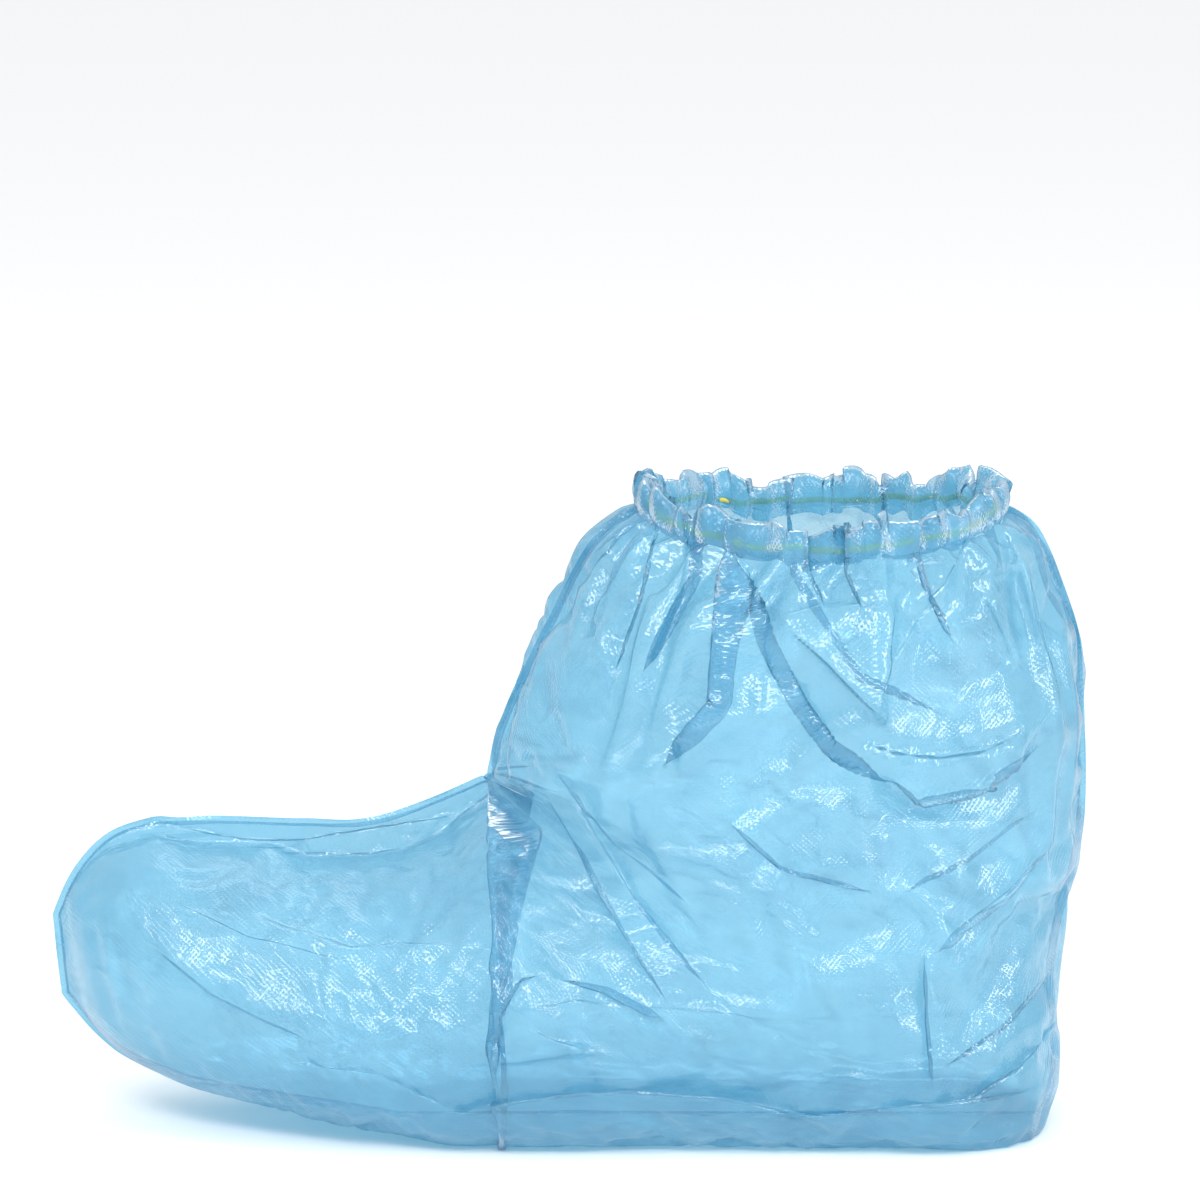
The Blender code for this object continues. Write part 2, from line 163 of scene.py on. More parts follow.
LOOSE_DEPTH = 0.0014
LOOSE_APART = 0.013
FACET_POINTS = 480  # the same for the small flat facets between sharp fine creases
FACET_DEPTH = 0.0006
FACET_APART = 0.0085
NO_CREASES = (((-200, -200, 0), (-201, -200, 0)),)  # one crease, well away from the film
LOOSE_FROM, LOOSE_TO = (-0.02, -0.02), (0.34, 0.22)  # corners of the view that the places fill
FAR_CORNERS = ((-0.1, -0.1), (0.45, -0.1), (0.45, 0.35), (-0.1, 0.35))
CALM_TOE = 0.45  # share of that depth that is left within CALM_TOE_TO of the toe end
CALM_TOE_TO = 0.13
EVEN_OUT = 2  # times that the creases are evened out into the film beside them

BROAD = 60  # times that the film is evened out to find the direction in which its folds stand out
PATH_FADE = 0.22  # share of a fold's or ridge's length over which each end fades out

# Folds where the film lies over itself, each along a path in the side view, in millimetres from
# the toe end and the floor: how wide the fold is, how far over it goes (1 is upright), how high it
# stands, and which side of the path lies on top (1 is the left of the way it runs).
Fold = namedtuple("Fold", "width over rise top path")
LEFT_FOLDS = (
    Fold(3.2, 3.6, 2.6, 1, ((208, 192), (206, 166), (204, 142), (186, 121))),
    Fold(3.0, 3.2, 2.2, -1, ((212, 183), (218, 160), (228, 141), (238, 128), (257, 115))),
    Fold(1.7, 1.6, 1.6, 1, ((221, 168), (236, 155), (252, 139))),
    Fold(1.6, 1.3, 1.4, -1, ((257, 172), (252, 139))),
    Fold(1.8, 1.2, -1.2, 1, ((221, 169), (240, 172), (257, 172))),
    Fold(1.5, 1.6, 1.4, 1, ((280, 188), (256, 155), (250, 139))),
    Fold(1.7, 2.4, 2.2, -1, ((244, 132), (258, 127), (270, 125), (283, 126), (298, 131))),
    Fold(1.7, 2.0, 2.0, 1, ((254, 121), (264, 111), (282, 113), (303, 125))),
    Fold(1.8, 2.0, 1.6, 1, ((284, 172), (289, 162), (294, 150))),
    Fold(1.8, 2.0, 1.4, 1, ((172, 191), (162, 174), (152, 158))),
    Fold(1.6, 1.8, 1.4, -1, ((177, 190), (168, 170), (158, 150))),
    Fold(2.0, 2.2, 1.6, 1, ((186, 192), (180, 168), (172, 146))),
    Fold(1.8, 2.0, 1.6, -1, ((196, 192), (192, 172), (183, 152))),
    Fold(1.8, 2.0, 1.4, -1, ((229, 191), (231, 180), (236, 170))),
    Fold(1.8, 2.0, 1.4, 1, ((243, 191), (242, 181), (247, 170))),
    Fold(2.0, 2.2, 1.6, -1, ((262, 191), (266, 176), (275, 158))),
    Fold(1.8, 2.0, 1.6, 1, ((291, 190), (297, 172), (303, 152))),
    Fold(2.0, 2.0, 1.6, 1, ((137, 27), (138, 47), (144, 58), (153, 60))),
    Fold(2.0, 2.4, 1.8, 1, ((154, 58), (170, 54), (188, 45))),
    Fold(1.8, 1.6, 1.4, -1, ((147, 44), (154, 40), (163, 37))),
    Fold(2.2, 2.0, 1.4, 1, ((150, 112), (168, 82), (191, 47))),
    Fold(2.2, 2.0, 1.4, -1, ((160, 110), (180, 78), (203, 52))),
    Fold(2.0, 2.4, 1.8, 1, ((266, 66), (267, 44), (269, 22))),
    Fold(2.2, 2.2, 1.6, -1, ((308, 94), (292, 80), (268, 64))),
    Fold(2.0, 2.0, 1.6, 1, ((272, 30), (290, 39), (309, 52))),
    Fold(2.0, 2.0, 1.4, -1, ((279, 21), (296, 26), (310, 37))),
    Fold(2.4, 2.2, 1.6, -1, ((112, 12), (145, 20), (176, 23), (205, 20), (232, 14))),
    Fold(2.4, 2.2, 1.4, -1, ((222, 13), (262, 18), (304, 19))),
    Fold(1.5, 1.5, 1.6, -1, ((24, 96), (42, 91), (57, 88), (74, 87.5), (95, 91), (114, 94), (133, 98))),
    Fold(2.0, 1.4, 1.0, 1, ((28, 64), (50, 49), (84, 35))),
    Fold(2.0, 1.3, 1.0, -1, ((58, 72), (92, 63), (126, 66))),
    Fold(2.0, 1.5, 1.0, -1, ((70, 30), (100, 27), (128, 14))),
    Fold(2.2, 1.8, 1.2, 1, ((205, 108), (222, 92), (252, 84))),
)
RIGHT_FOLDS = (
    Fold(2.6, 2.8, 2.2, 1, ((200, 192), (198, 160), (180, 128))),
    Fold(2.4, 2.4, 2.0, -1, ((226, 192), (230, 160), (250, 128), (280, 116))),
    Fold(2.0, 2.0, 1.6, 1, ((256, 192), (262, 168), (284, 140))),
    Fold(1.8, 1.8, 1.4, -1, ((178, 191), (168, 170), (156, 150))),
    Fold(2.0, 2.0, 1.6, 1, ((286, 190), (296, 162), (304, 132))),
    Fold(2.2, 2.2, 1.6, 1, ((150, 108), (172, 76), (200, 50))),
    Fold(2.2, 2.2, 1.6, -1, ((306, 92), (284, 70), (262, 56))),
    Fold(2.4, 1.2, 0.9, -1, ((118, 14), (160, 22), (232, 16), (300, 20))),
    Fold(2.0, 1.4, 1.0, 1, ((30, 62), (56, 46), (96, 34))),
)
# Flat facets with a sharp rim: three corners, each with how far it stands out, in millimetres
LEFT_FACETS = (
    ((221, 168, 0), (257, 172, 0), (252, 140, 8.5)),
    ((246, 131, 0), (270, 126, 0), (264, 112, 8.5)),
    ((270, 126, 0), (264, 112, 8.5), (284, 114, 8.5)),
    ((270, 126, 0), (299, 131, 0), (284, 114, 8.5)),
    ((204, 150, 0.5), (218, 146, 0.5), (196, 124, 4.0)),
    ((150, 44, 0), (163, 36, 3.5), (141, 34, 3.0)),
    ((262, 92, 0), (300, 88, 0), (272, 68, 4.0)),
)
RIGHT_FACETS = (
    ((226, 176, 0), (262, 170, 0), (246, 140, 5.5)),
    ((270, 60, 0), (302, 66, 0), (280, 42, 4.0)),
)
FACET_RIM = 0.0028  # how far beyond its edges a facet falls back to the film

# Rounded ridges, which stand out along their paths: width and height in millimetres
Ridge = namedtuple("Ridge", "width height path")
LEFT_RIDGES = (
    Ridge(4.2, 2.6, ((206, 150), (205, 134), (196, 124))),
    Ridge(4.0, 2.0, ((144, 50), (152, 47), (163, 50))),
    Ridge(5.0, 2.2, ((160, 100), (176, 76), (194, 52))),
    Ridge(4.5, 2.0, ((276, 28), (292, 34), (306, 44))),
    Ridge(4.0, 1.8, ((270, 92), (282, 84), (296, 74))),
)
RIGHT_RIDGES = (
    Ridge(4.6, 2.6, ((216, 180), (220, 158), (236, 136))),
    Ridge(4.6, 2.4, ((262, 134), (280, 128), (298, 132))),
    Ridge(5.0, 2.2, ((160, 98), (180, 74), (204, 54))),
    Ridge(4.5, 2.0, ((268, 40), (288, 50), (304, 66))),
)

# How the film settles: its slack as a share of its length, its stiffness, and how firmly it is
# held in its form all over, at the sole, seams and pleat, and where it is pinched, from 0 to 1
FILM_SLACK = 0.035
FILM_STRETCH = 40
FILM_BENDING = 4.0
FILM_HOLD = 0.22
SOLE_HOLD = 0.9
SEAM_HOLD = 1.0
# How taut the film is at rows down the grid: 0 is fully slack and 1 isn't slack at all
TAUTNESS = ((0, 0.0), (28, 0.1), (50, 0.35), (75, 0.5), (95, 0.65), (122, 0.7))
PLEAT_HOLD = 0.75
PINCHED_HOLD = 0.75
PINCHED_STEP = 0.0009  # rows closer together than this are pinched
CALM_STEP = 0.0020  # rows closer together than this are smoothed once they have settled
PLEAT_ROW = sum(s.rows for s in SECTIONS[:15])
PLEAT_ROWS = 5
SETTLE_FRAMES = 40
MOST_SETTLING = 0.006

# Gathers under the hem: how many go round the mouth, how far they stand out, and how far below
# the hem they are deepest and gone.
Gather = namedtuple("Gather", "round depth deepest gone drift")
GATHERS = (
    Gather(31, 0.0021, 0.000, 0.026, 0.35),
    Gather(17, 0.0031, 0.010, 0.058, 0.50),
    Gather(11, 0.0032, 0.024, 0.100, 0.60),
)

# Lines of the hem from its seam up, over and down inside: how far in and up each lies, as shares
# of its depth and height, and how much it ruffles
HEM_PROFILE = (
    (0.00, 0.00, 0.15), (0.06, 0.14, 0.20), (0.10, 0.30, 0.30), (0.10, 0.46, 0.45),
    (0.06, 0.62, 0.65), (0.02, 0.78, 0.90), (-0.04, 0.92, 1.15), (-0.14, 1.00, 1.30),
    (-0.26, 0.98, 1.30), (-0.38, 0.84, 1.00), (-0.46, 0.64, 0.65), (-0.50, 0.44, 0.35),
    (-0.50, 0.26, 0.25), (-0.48, 0.10, 0.35), (-0.42, -0.06, 0.60), (-0.36, -0.18, 0.80),
)
HEM_DEPTH = 0.009
HEM_LAID_FLAT = 0.6  # the hem's length for its finish, with the ruffles opened out
HEM_WRINKLE = 0.00035
HEM_RUFFLES = 31
# What makes the ruffles uneven round the mouth: each wave's height, number and start
HEM_SLIP = ((0.35, 3, 0), (0.2, 7, 0.17), (0.16, 13, 0.4), (0.1, 23, 0))
HEM_UNEVEN = ((0.3, 4, 0.1), (0.28, 19, 0.3))

# The welded edge: shares of its reach from inside the seam to its rim, and how it waves
WELD_LINES = (-0.4, 0.0, 0.35, 0.7, 1.0)
WELD_STEP = 0.0012
WELD_WAVE = 0.0007

ELASTIC_INSET = 0.0026
ELASTIC_HEIGHT = 0.0028

# Lights: place, what it points at, width and height in metres, and power in watts
LIGHTS = (
    ("key_softbox", (-0.9, -1.3, 1.5), (0, 0, 0.1), (0.5, 0.5), 12),
    ("side_strip", (1.4, -0.9, 0.75), (0.05, 0, 0.1), (0.3, 0.9), 12),
    ("front_strip", (0.15, -1.5, 1.05), (0, 0, 0.1), (0.8, 0.4), 13),
    ("top_softbox", (0.1, 0.5, 1.6), (0, 0, 0.1), (0.8, 0.5), 3),
)
CAMERA_TARGET = (0.0099, 0, 0.163)


def along(place):
    """The x of a place along the length."""
    if place <= 1:
        return TOE_X + place * FOOT_REACH
    return SHAFT_FRONT_X + (place - 1) * SHAFT_DEPTH


def up(place):
    """The z of a place up the height."""
    if place <= 1:
        return place * FOOT_HEIGHT
    return FOOT_HEIGHT + (place - 1) * (PANEL_TOP - FOOT_HEIGHT)


def distance_along(line):
    """How far along a line each of its points lies."""
    return np.concatenate([[0], np.cumsum(np.linalg.norm(np.diff(line, axis=0), axis=1))])


def unit(vectors):
    """The directions of vectors, as vectors of length 1."""
    return vectors / np.maximum(np.linalg.norm(vectors, axis=-1, keepdims=True), 1e-9)


def section_shapes():
    """Each section in metres, the mouth's first."""
    middle, reach = BACK_X - MOUTH_FROM_BACK, MOUTH_LENGTH / 2
    mouth = (middle - reach, PANEL_TOP, middle + reach, PANEL_TOP, MOUTH_WIDTH / 2, 0, 0, 0.5, 1, 1)
    shapes = [mouth]
    for s in SECTIONS:
        ends = along(s.front_x), up(s.front_z), along(s.back_x), up(s.back_z)
        shapes.append((*ends, s.half_width * HALF_WIDTH, *s[6:]))
    return np.array(shapes)


def on_curve(before, start, end, after, t):
    """A place at t, from 0 to 1, on the smooth curve from start to end."""
    slope_start, slope_end = (end - before) / 2, (after - start) / 2
    cubic = 2 * (start - end) + slope_start + slope_end
    square = 3 * (end - start) - 2 * slope_start - slope_end
    return ((cubic * t + square) * t + slope_start) * t + start


def film_rows():
    """The shape of every row of the film, on smooth curves through the sections."""
    shapes = section_shapes()
    last = len(shapes) - 1
    found = []
    for index, section in enumerate(SECTIONS):
        before, start = shapes[max(index - 1, 0)], shapes[index]
        end, after = shapes[index + 1], shapes[min(index + 2, last)]
        for step in range(section.rows):
            found.append(on_curve(before, start, end, after, step / section.rows))
    found.append(shapes[-1])
    return found


def row_outline(row):
    """A row's points from the front seam round to the back seam, and its distances laid flat."""
    front_x, front_z, back_x, back_z, half_width, bow, fin, belly, front_round, back_round = row
    angle = np.linspace(0, math.pi, SECTION_SAMPLES + 1)
    cosine, sine = np.abs(np.cos(angle)), np.abs(np.sin(angle))
    ahead = angle <= math.pi / 2
    fin = max(fin, 0)
    front = fin + (belly - fin) * (1 - cosine**front_round)
    chord = np.where(ahead, front, belly + (1 - belly) * cosine**back_round)
    width = np.where(ahead, sine**front_round, sine**back_round)
    if fin > 0.001:
        rise = np.linspace(0, 1, FIN_STEPS)[:-1]
        chord = np.concatenate([rise * fin, chord])
        width = np.concatenate([rise * FIN_WIDTH, np.maximum(width, FIN_WIDTH)])
        width[-1] = 0
    pushed = np.minimum(chord / BOW_FROM, 1) * np.clip((BOW_TO - chord) / (BOW_TO - BOW_FROM), 0, 1)
    x = front_x + (back_x - front_x) * chord + bow * pushed
    z = np.maximum(front_z + (back_z - front_z) * chord, FLOOR_CLEARANCE)
    y = half_width * width
    line = np.stack([x, y, z], axis=1)
    far = distance_along(line)
    even = np.linspace(0, far[-1], COLUMNS + 1)
    line = np.stack([np.interp(even, far, line[:, axis]) for axis in range(3)], axis=1)
    return line, even


def outward(grid, side):
    """The film's outward direction at every point of a grid."""
    down = np.gradient(grid, axis=0)
    across = np.gradient(grid, axis=1)
    return unit(np.cross(across, down) * side)


def side_view(grid):
    """Where a grid's points lie in the side view: how far from the toe end and from the floor."""
    return grid[:, :, 0] - TOE_X, grid[:, :, 2]


def evened(field, times):
    """A field on the film's grid, evened out between neighbours."""
    for _ in range(times):
        wide = np.pad(field, 1, mode="edge")
        field = (
            wide[1:-1, 1:-1] * 4
            + (wide[:-2, 1:-1] + wide[2:, 1:-1] + wide[1:-1, :-2] + wide[1:-1, 2:]) * 2
            + wide[:-2, :-2]
            + wide[:-2, 2:]
            + wide[2:, :-2]
            + wide[2:, 2:]
        ) / 16
    return field


def evened_ring(ring, times):
    """A closed ring of points, evened out between neighbours."""
    for _ in range(times):
        ring = (np.roll(ring, 1, axis=0) + ring * 2 + np.roll(ring, -1, axis=0)) / 4
    return ring


def twice_area(a, b, c):
    """Twice the area of a triangle in the side view, negative where it runs clockwise."""
    return (b[0] - a[0]) * (c[1] - a[1]) - (c[0] - a[0]) * (b[1] - a[1])


def corner_shares(place, a, b, c):
    """How much each corner of a triangle counts at places in the side view."""
    whole = twice_area(a, b, c)
    second, third = twice_area(a, place, c) / whole, twice_area(a, b, place) / whole
    return np.stack([1 - second - third, second, third])


def crease_heights(x, z, creases, seed, count, depth, apart):
    """How far the creased film stands out at places in the side view: flat facets between creases."""
    chance = np.random.default_rng(seed)
    points, outs, edges = [], [], []
    for ends in (pair for crease in creases for pair in zip(crease, crease[1:])):
        edges.append((len(points), len(points) + 1))
        for end_x, end_z, out in ends:
            points.append((end_x / 1000, end_z / 1000))
            outs.append(out / 1000)
    fixed = np.array(points)
    while len(points) < len(fixed) + count:
        place = chance.uniform(LOOSE_FROM, LOOSE_TO)
        near_crease = np.min(np.hypot(*(fixed - place).T))
        near_loose = min(
            (math.hypot(place[0] - p[0], place[1] - p[1]) for p in points[len(fixed) :]), default=1
        )
        if near_crease > apart * 0.6 and near_loose > apart:
            points.append(tuple(place))
            calm = CALM_TOE if place[0] < CALM_TOE_TO else 1.0
            outs.append(chance.uniform(-1, 1) * depth * calm)
    points += FAR_CORNERS
    outs += [0.0] * len(FAR_CORNERS)
    made = geometry.delaunay_2d_cdt([Vector(p) for p in points], edges, [], 0, 1e-5)
    places = np.array([tuple(v) for v in made[0]])
    given = np.array(points)
    heights = []
    for place, sources in zip(places, made[3]):
        if sources:
            heights.append(np.mean([outs[s] for s in sources]))
        else:
            nearest = np.argsort(np.hypot(*(given - place).T))[:2]
            heights.append(np.mean([outs[n] for n in nearest]))
    heights = np.array(heights)
    field = np.zeros_like(x)
    for face in made[2]:
        corners = places[face]
        if abs(twice_area(*corners)) < 1e-12:
            continue
        shares = corner_shares((x, z), *corners)
        inside = np.all(shares >= -1e-9, axis=0)
        blend = sum(share * heights[corner] for share, corner in zip(shares, face))
        field[inside] = blend[inside]
    return field


def waves_round(share, *waves):
    """Waves round the mouth, each with its height, its number and where it starts, added up."""
    return sum(height * np.sin(2 * math.pi * (number * share + start)) for height, number, start in waves)


def drawn_wave(turn):
    """A gather's height, from -1 to 1, with narrower crests than a plain wave."""
    plain = np.sin(2 * math.pi * turn)
    sharp = 2 / math.pi * np.arcsin(np.clip(plain, -1, 1))
    return 0.55 * plain + 0.45 * sharp


def gather_heights(share, below):
    """How far the gathers stand out: share is how far round the mouth, below how far under the hem."""
    height = np.zeros_like(share + below)
    for order, gather in enumerate(GATHERS):
        slow, quick = (1, 3, 0.31 * order), (0.6, 7, 0.17 + 0.4 * order)
        slip = gather.drift * waves_round(share, slow, quick)
        rise = np.clip(below / max(gather.deepest, 1e-6), 0, 1) if gather.deepest else 1.0
        fall = np.clip((gather.gone - below) / (gather.gone - gather.deepest), 0, 1)
        start = 0.35 if gather.deepest else 1.0
        strength = gather.depth * (start + (1 - start) * rise) * fall**1.3
        uneven = 0.75 + waves_round(share, (0.25, 5, 0.23 * order))
        height = height + strength * uneven * drawn_wave(gather.round * share + slip)
    return height


def film_grid(side, creases, seed):
    """A panel's points on a grid from the mouth to the toe, and their places on the flat cut."""
    lines, flats = [], []
    for row in film_rows():
        line, even = row_outline(row)
        line[:, 1] = side * np.maximum(line[:, 1], FILM_FROM_MIDDLE)
        lines.append(line)
        slope = np.array([row[2] - row[0], row[3] - row[1]])
        slope = slope / np.linalg.norm(slope)
        flats.append(np.stack([row[0] + even * slope[0], row[1] + even * slope[1]], axis=1))
    grid, flat = np.array(lines), np.array(flats)
    rows = len(grid)
    index = np.arange(rows)[:, None]
    fade = np.clip(1 - index / SHAFT_ROWS, 0, 1)
    across = np.minimum(np.abs(grid[:, :, 1]) / (MOUTH_WIDTH / 2), 1)
    grid[:, :, 2] -= MOUTH_DROOP * across**2 * fade
    normal = outward(grid, side)

    column = np.arange(COLUMNS + 1)[None, :] / COLUMNS
    share = column / 2 if side < 0 else 1 - column / 2
    below = distance_along(grid[:, COLUMNS // 2])[:, None]
    gathers = gather_heights(share, below) * np.where(index < SHAFT_ROWS + 10, 1, 0)

    loose = LOOSE_POINTS, LOOSE_DEPTH, LOOSE_APART
    folds = evened(crease_heights(*side_view(grid), creases, seed, *loose), EVEN_OUT)
    seam = np.minimum(column, 1 - column) * 2
    from_seam = np.clip(seam / 0.10, 0, 1)
    toe_room = np.clip((rows - 1 - index) / 9, 0, 1)
    from_mouth = np.clip(index / 6, 0, 1)
    lift = gathers * np.clip(seam / 0.04 + 0.5, 0, 1) + folds * from_seam * toe_room * from_mouth
    return grid + normal * lift[:, :, None], flat


def grid_faces(rows, columns, closed):
    """The faces between the points of a grid; where it is closed, its last column meets its first."""
    faces = []
    for r in range(rows - 1):
        for c in range(columns if closed else columns - 1):
            d = (c + 1) % columns
            faces.append((r * columns + c, r * columns + d, (r + 1) * columns + d, (r + 1) * columns + c))
    return faces


def settle(left, right):
    """Lets the two panels, joined at the seam and a little slack, buckle and settle as cloth."""
    columns = left.shape[1] - 1
    ring = np.concatenate([left, right[:, -2:0:-1]], axis=1)
    ring[:, (0, columns), 1] = 0
    rows, around = ring.shape[:2]
    mesh = bpy.data.meshes.new("settling")
    mesh.from_pydata(ring.reshape(-1, 3).tolist(), [], grid_faces(rows, around, closed=True))
    cloth = bpy.data.objects.new("settling", mesh)
    bpy.context.scene.collection.objects.link(cloth)

    index = np.arange(rows)[:, None]
    step = np.linalg.norm(np.gradient(ring, axis=0), axis=2)
    hold = np.where(step < PINCHED_STEP, PINCHED_HOLD, FILM_HOLD) + 0 * index
    pleat = np.abs(index - PLEAT_ROW) <= PLEAT_ROWS
    hold = np.where(pleat & (ring[:, :, 2] > 0.002), np.maximum(hold, PLEAT_HOLD), hold)
    hold = np.where(ring[:, :, 2] < 0.002, SOLE_HOLD, hold)
    hold[:, (0, columns)] = np.maximum(hold[:, (0, columns)], SEAM_HOLD)
    hold[0], hold[-1] = 1.0, SOLE_HOLD
    for _ in range(2):
        hold[1:-1] = (hold[:-2] + 2 * hold[1:-1] + hold[2:]) / 4
    hold[0] = 1.0
    taut = np.interp(index, *zip(*TAUTNESS)) + 0 * hold
    for name, weights in (("hold", hold), ("taut", taut)):
        group = cloth.vertex_groups.new(name=name)
        for vertex, weight in enumerate(weights.ravel()):
            group.add([vertex], float(weight), "REPLACE")

    modifier = cloth.modifiers.new("film", "CLOTH")
    settings = modifier.settings
    settings.quality = 5
    settings.mass = 0.1
    settings.tension_stiffness = settings.compression_stiffness = FILM_STRETCH
    settings.shear_stiffness = FILM_STRETCH / 2
    settings.bending_stiffness = FILM_BENDING
    settings.bending_damping = 0.1
    settings.air_damping = 2
    settings.vertex_group_mass = "hold"
    settings.pin_stiffness = 1.0
    settings.vertex_group_shrink = "taut"
    settings.shrink_min, settings.shrink_max = -FILM_SLACK, 0
    settings.effector_weights.gravity = 0.15
    modifier.collision_settings.use_collision = False
    modifier.collision_settings.use_self_collision = False
    modifier.point_cache.frame_start, modifier.point_cache.frame_end = 1, SETTLE_FRAMES
    for moment in range(1, SETTLE_FRAMES + 1):
        bpy.context.scene.frame_set(moment)
    seen = cloth.evaluated_get(bpy.context.evaluated_depsgraph_get()).data
    places = np.empty(len(seen.vertices) * 3)
    seen.vertices.foreach_get("co", places)
    settled = places.reshape(rows, around, 3)
    bpy.data.objects.remove(cloth)
    bpy.context.scene.frame_set(1)
    move = settled - ring
    far = np.linalg.norm(move, axis=2, keepdims=True)
    settled = ring + move * np.minimum(1, MOST_SETTLING / np.maximum(far, 1e-9))
    calm = np.clip(1 - step / CALM_STEP, 0, 1)[:, :, None]
    for _ in range(3):
        mean = (np.roll(settled, 1, axis=1) + np.roll(settled, -1, axis=1) + settled * 2) / 4
        mean[1:-1] = (mean[:-2] + mean[1:-1] * 2 + mean[2:]) / 4
        settled = settled + (mean - settled) * calm
    near = settled[:, : columns + 1].copy()
    other = np.concatenate([settled[:, :1], settled[:, :columns - 1:-1]], axis=1)
    return near, other


def finer(field, times):
    """A grid with more steps between its points, on smooth curves through them."""
    for _ in range(2):
        before = np.concatenate([field[:1], field[:-2]])
        start, end = field[:-1], field[1:]
        after = np.concatenate([field[2:], field[-1:]])
        pieces = [on_curve(before, start, end, after, step / times) for step in range(times)]
        joined = np.stack(pieces, axis=1).reshape(-1, *field.shape[1:])
        field = np.concatenate([joined, field[-1:]]).swapaxes(0, 1)
    return field


def add_facets(grid, side, seed):
    """The film with small flat facets and sharp fine creases between them."""
    loose = FACET_POINTS, FACET_DEPTH, FACET_APART
    facets = crease_heights(*side_view(grid), NO_CREASES, seed, *loose)
    return grid + outward(grid, side) * facets[:, :, None]


def beside_path(grid, path):
    """Where each point of a grid lies beside a path in the side view: how far off in x and in z,
    how far off at all, on which hand, and how much the path counts there, fading at its ends."""
    x, z = side_view(grid)
    path = np.array(path) / 1000
    steps = np.linalg.norm(np.diff(path, axis=0), axis=1)
    nearest = np.full(x.shape, 1.0)
    away_x, away_z, hand, place = (np.zeros(x.shape) for _ in range(4))
    done = 0.0
    for start, end, step in zip(path[:-1], path[1:], steps):
        way = (end - start) / step
        share = np.clip(((x - start[0]) * way[0] + (z - start[1]) * way[1]) / step, 0, 1)
        off_x = x - start[0] - share * step * way[0]
        off_z = z - start[1] - share * step * way[1]
        far = np.hypot(off_x, off_z)
        closer = far < nearest
        nearest = np.where(closer, far, nearest)
        away_x, away_z = np.where(closer, off_x, away_x), np.where(closer, off_z, away_z)
        hand = np.where(closer, np.sign(way[0] * off_z - way[1] * off_x), hand)
        place = np.where(closer, (done + share * step) / steps.sum(), place)
        done += step
    ends = np.clip(np.minimum(place, 1 - place) / PATH_FADE, 0, 1)
    return away_x, away_z, nearest, hand, ends * (2 - ends)


def facet_heights(x, z, corners):
    """How far one flat facet stands out, falling back to the film past its edges."""
    a, b, c = corners = np.array(corners) / 1000
    shares = corner_shares((x, z), a, b, c)
    edges = np.hypot(*(corners - np.roll(corners, -1, axis=0)).T[:2])
    across = abs(twice_area(a, b, c)) / np.roll(edges, -1)
    past = np.max(-shares * across[:, None, None], axis=0)
    shares = np.clip(shares, 0, 1)
    out = np.tensordot(corners[:, 2], shares, axes=1) / shares.sum(axis=0)
    return out * np.clip(1 - past / FACET_RIM, 0, 1)


def broad_outward(grid, side):
    """The outward direction of the film's broad form, without its gathers."""
    return outward(np.stack([evened(grid[:, :, axis], BROAD) for axis in range(3)], axis=2), side)


def fold_over(grid, side, folds, ridges, facets):
    """The film with its facets and ridges raised and each fold laid over itself along its path."""
    normal = broad_outward(grid, side)
    x, z = side_view(grid)
    raised = np.max([facet_heights(x, z, corners) for corners in facets], axis=0)
    grid = grid + normal * raised[:, :, None]
    for ridge in ridges:
        _, _, nearest, _, ends = beside_path(grid, ridge.path)
        bell = np.exp(-((nearest * 1000 / ridge.width) ** 2) / 2) * ends
        grid = grid + normal * (bell * ridge.height / 1000)[:, :, None]
    for fold in folds:
        away_x, away_z, nearest, hand, ends = beside_path(grid, fold.path)
        off = nearest * 1000 / fold.width
        strength = np.exp(-(off**2) / 2) * ends
        move = np.stack([away_x, np.zeros(away_x.shape), away_z], axis=2)
        move = move - np.sum(move * normal, axis=2, keepdims=True) * normal
        lift = fold.rise / 1000 * fold.top * hand * off
        grid = grid + strength[:, :, None] * (lift[:, :, None] * normal - fold.over * move)
    return grid


def finish_grid(grid, side):
    """The film kept off the floor and on its own side of the seam."""
    grid = grid.copy()
    grid[:, :, 2] = np.maximum(grid[:, :, 2], FLOOR_CLEARANCE)
    grid[:, :, 1] = side * np.maximum(side * grid[:, :, 1], FILM_FROM_MIDDLE)
    return grid


def link(name, mesh, finish):
    """An object for a mesh, with its finish."""
    made = bpy.data.objects.new(name, mesh)
    bpy.context.scene.collection.objects.link(made)
    mesh.materials.append(finish)
    return made


def grid_mesh(name, grid, flat, flip, closed=False):
    """A mesh over a grid of points, with its flat places as a UV map."""
    faces = grid_faces(*grid.shape[:2], closed)
    if flip:
        faces = [face[::-1] for face in faces]
    mesh = bpy.data.meshes.new(name)
    mesh.from_pydata(grid.reshape(-1, 3).tolist(), [], faces)
    mesh.shade_smooth()
    places = flat.reshape(-1, 2)
    layer = mesh.uv_layers.new(name="cut")
    corners = np.empty(len(mesh.loops), dtype=np.int32)
    mesh.loops.foreach_get("vertex_index", corners)
    layer.data.foreach_set("uv", places[corners].astype(np.float32).ravel())
    return mesh


# Finishes

# The film's pattern: scales as features a metre on the cut, and shares of the light
CUSHION_RADIUS = 0.42  # share of the emboss pitch
WAVES_SCALE = 80
CREASE_WANDER = 0.010
CRINKLE_SCALE = 55
FACET_FLAT = 0.28  # share of a facet's width past which it is flat
FACET_SHARE = 1.4  # height of the facets, as a share of the crinkles' depth
EDGE_ON = 1.35  # how much stronger the tint is where the film is seen edge-on
CREASE_SHARPNESS = 22
CREASE_HAZE = 0.08
CLOUDS_SCALE = 28
CLOUDS_HAZE = 0.35
LEAST_HAZE = 0.02
MOST_MIRRORED = 0.38  # the film's faint haze keeps it from mirroring fully even when seen edge-on


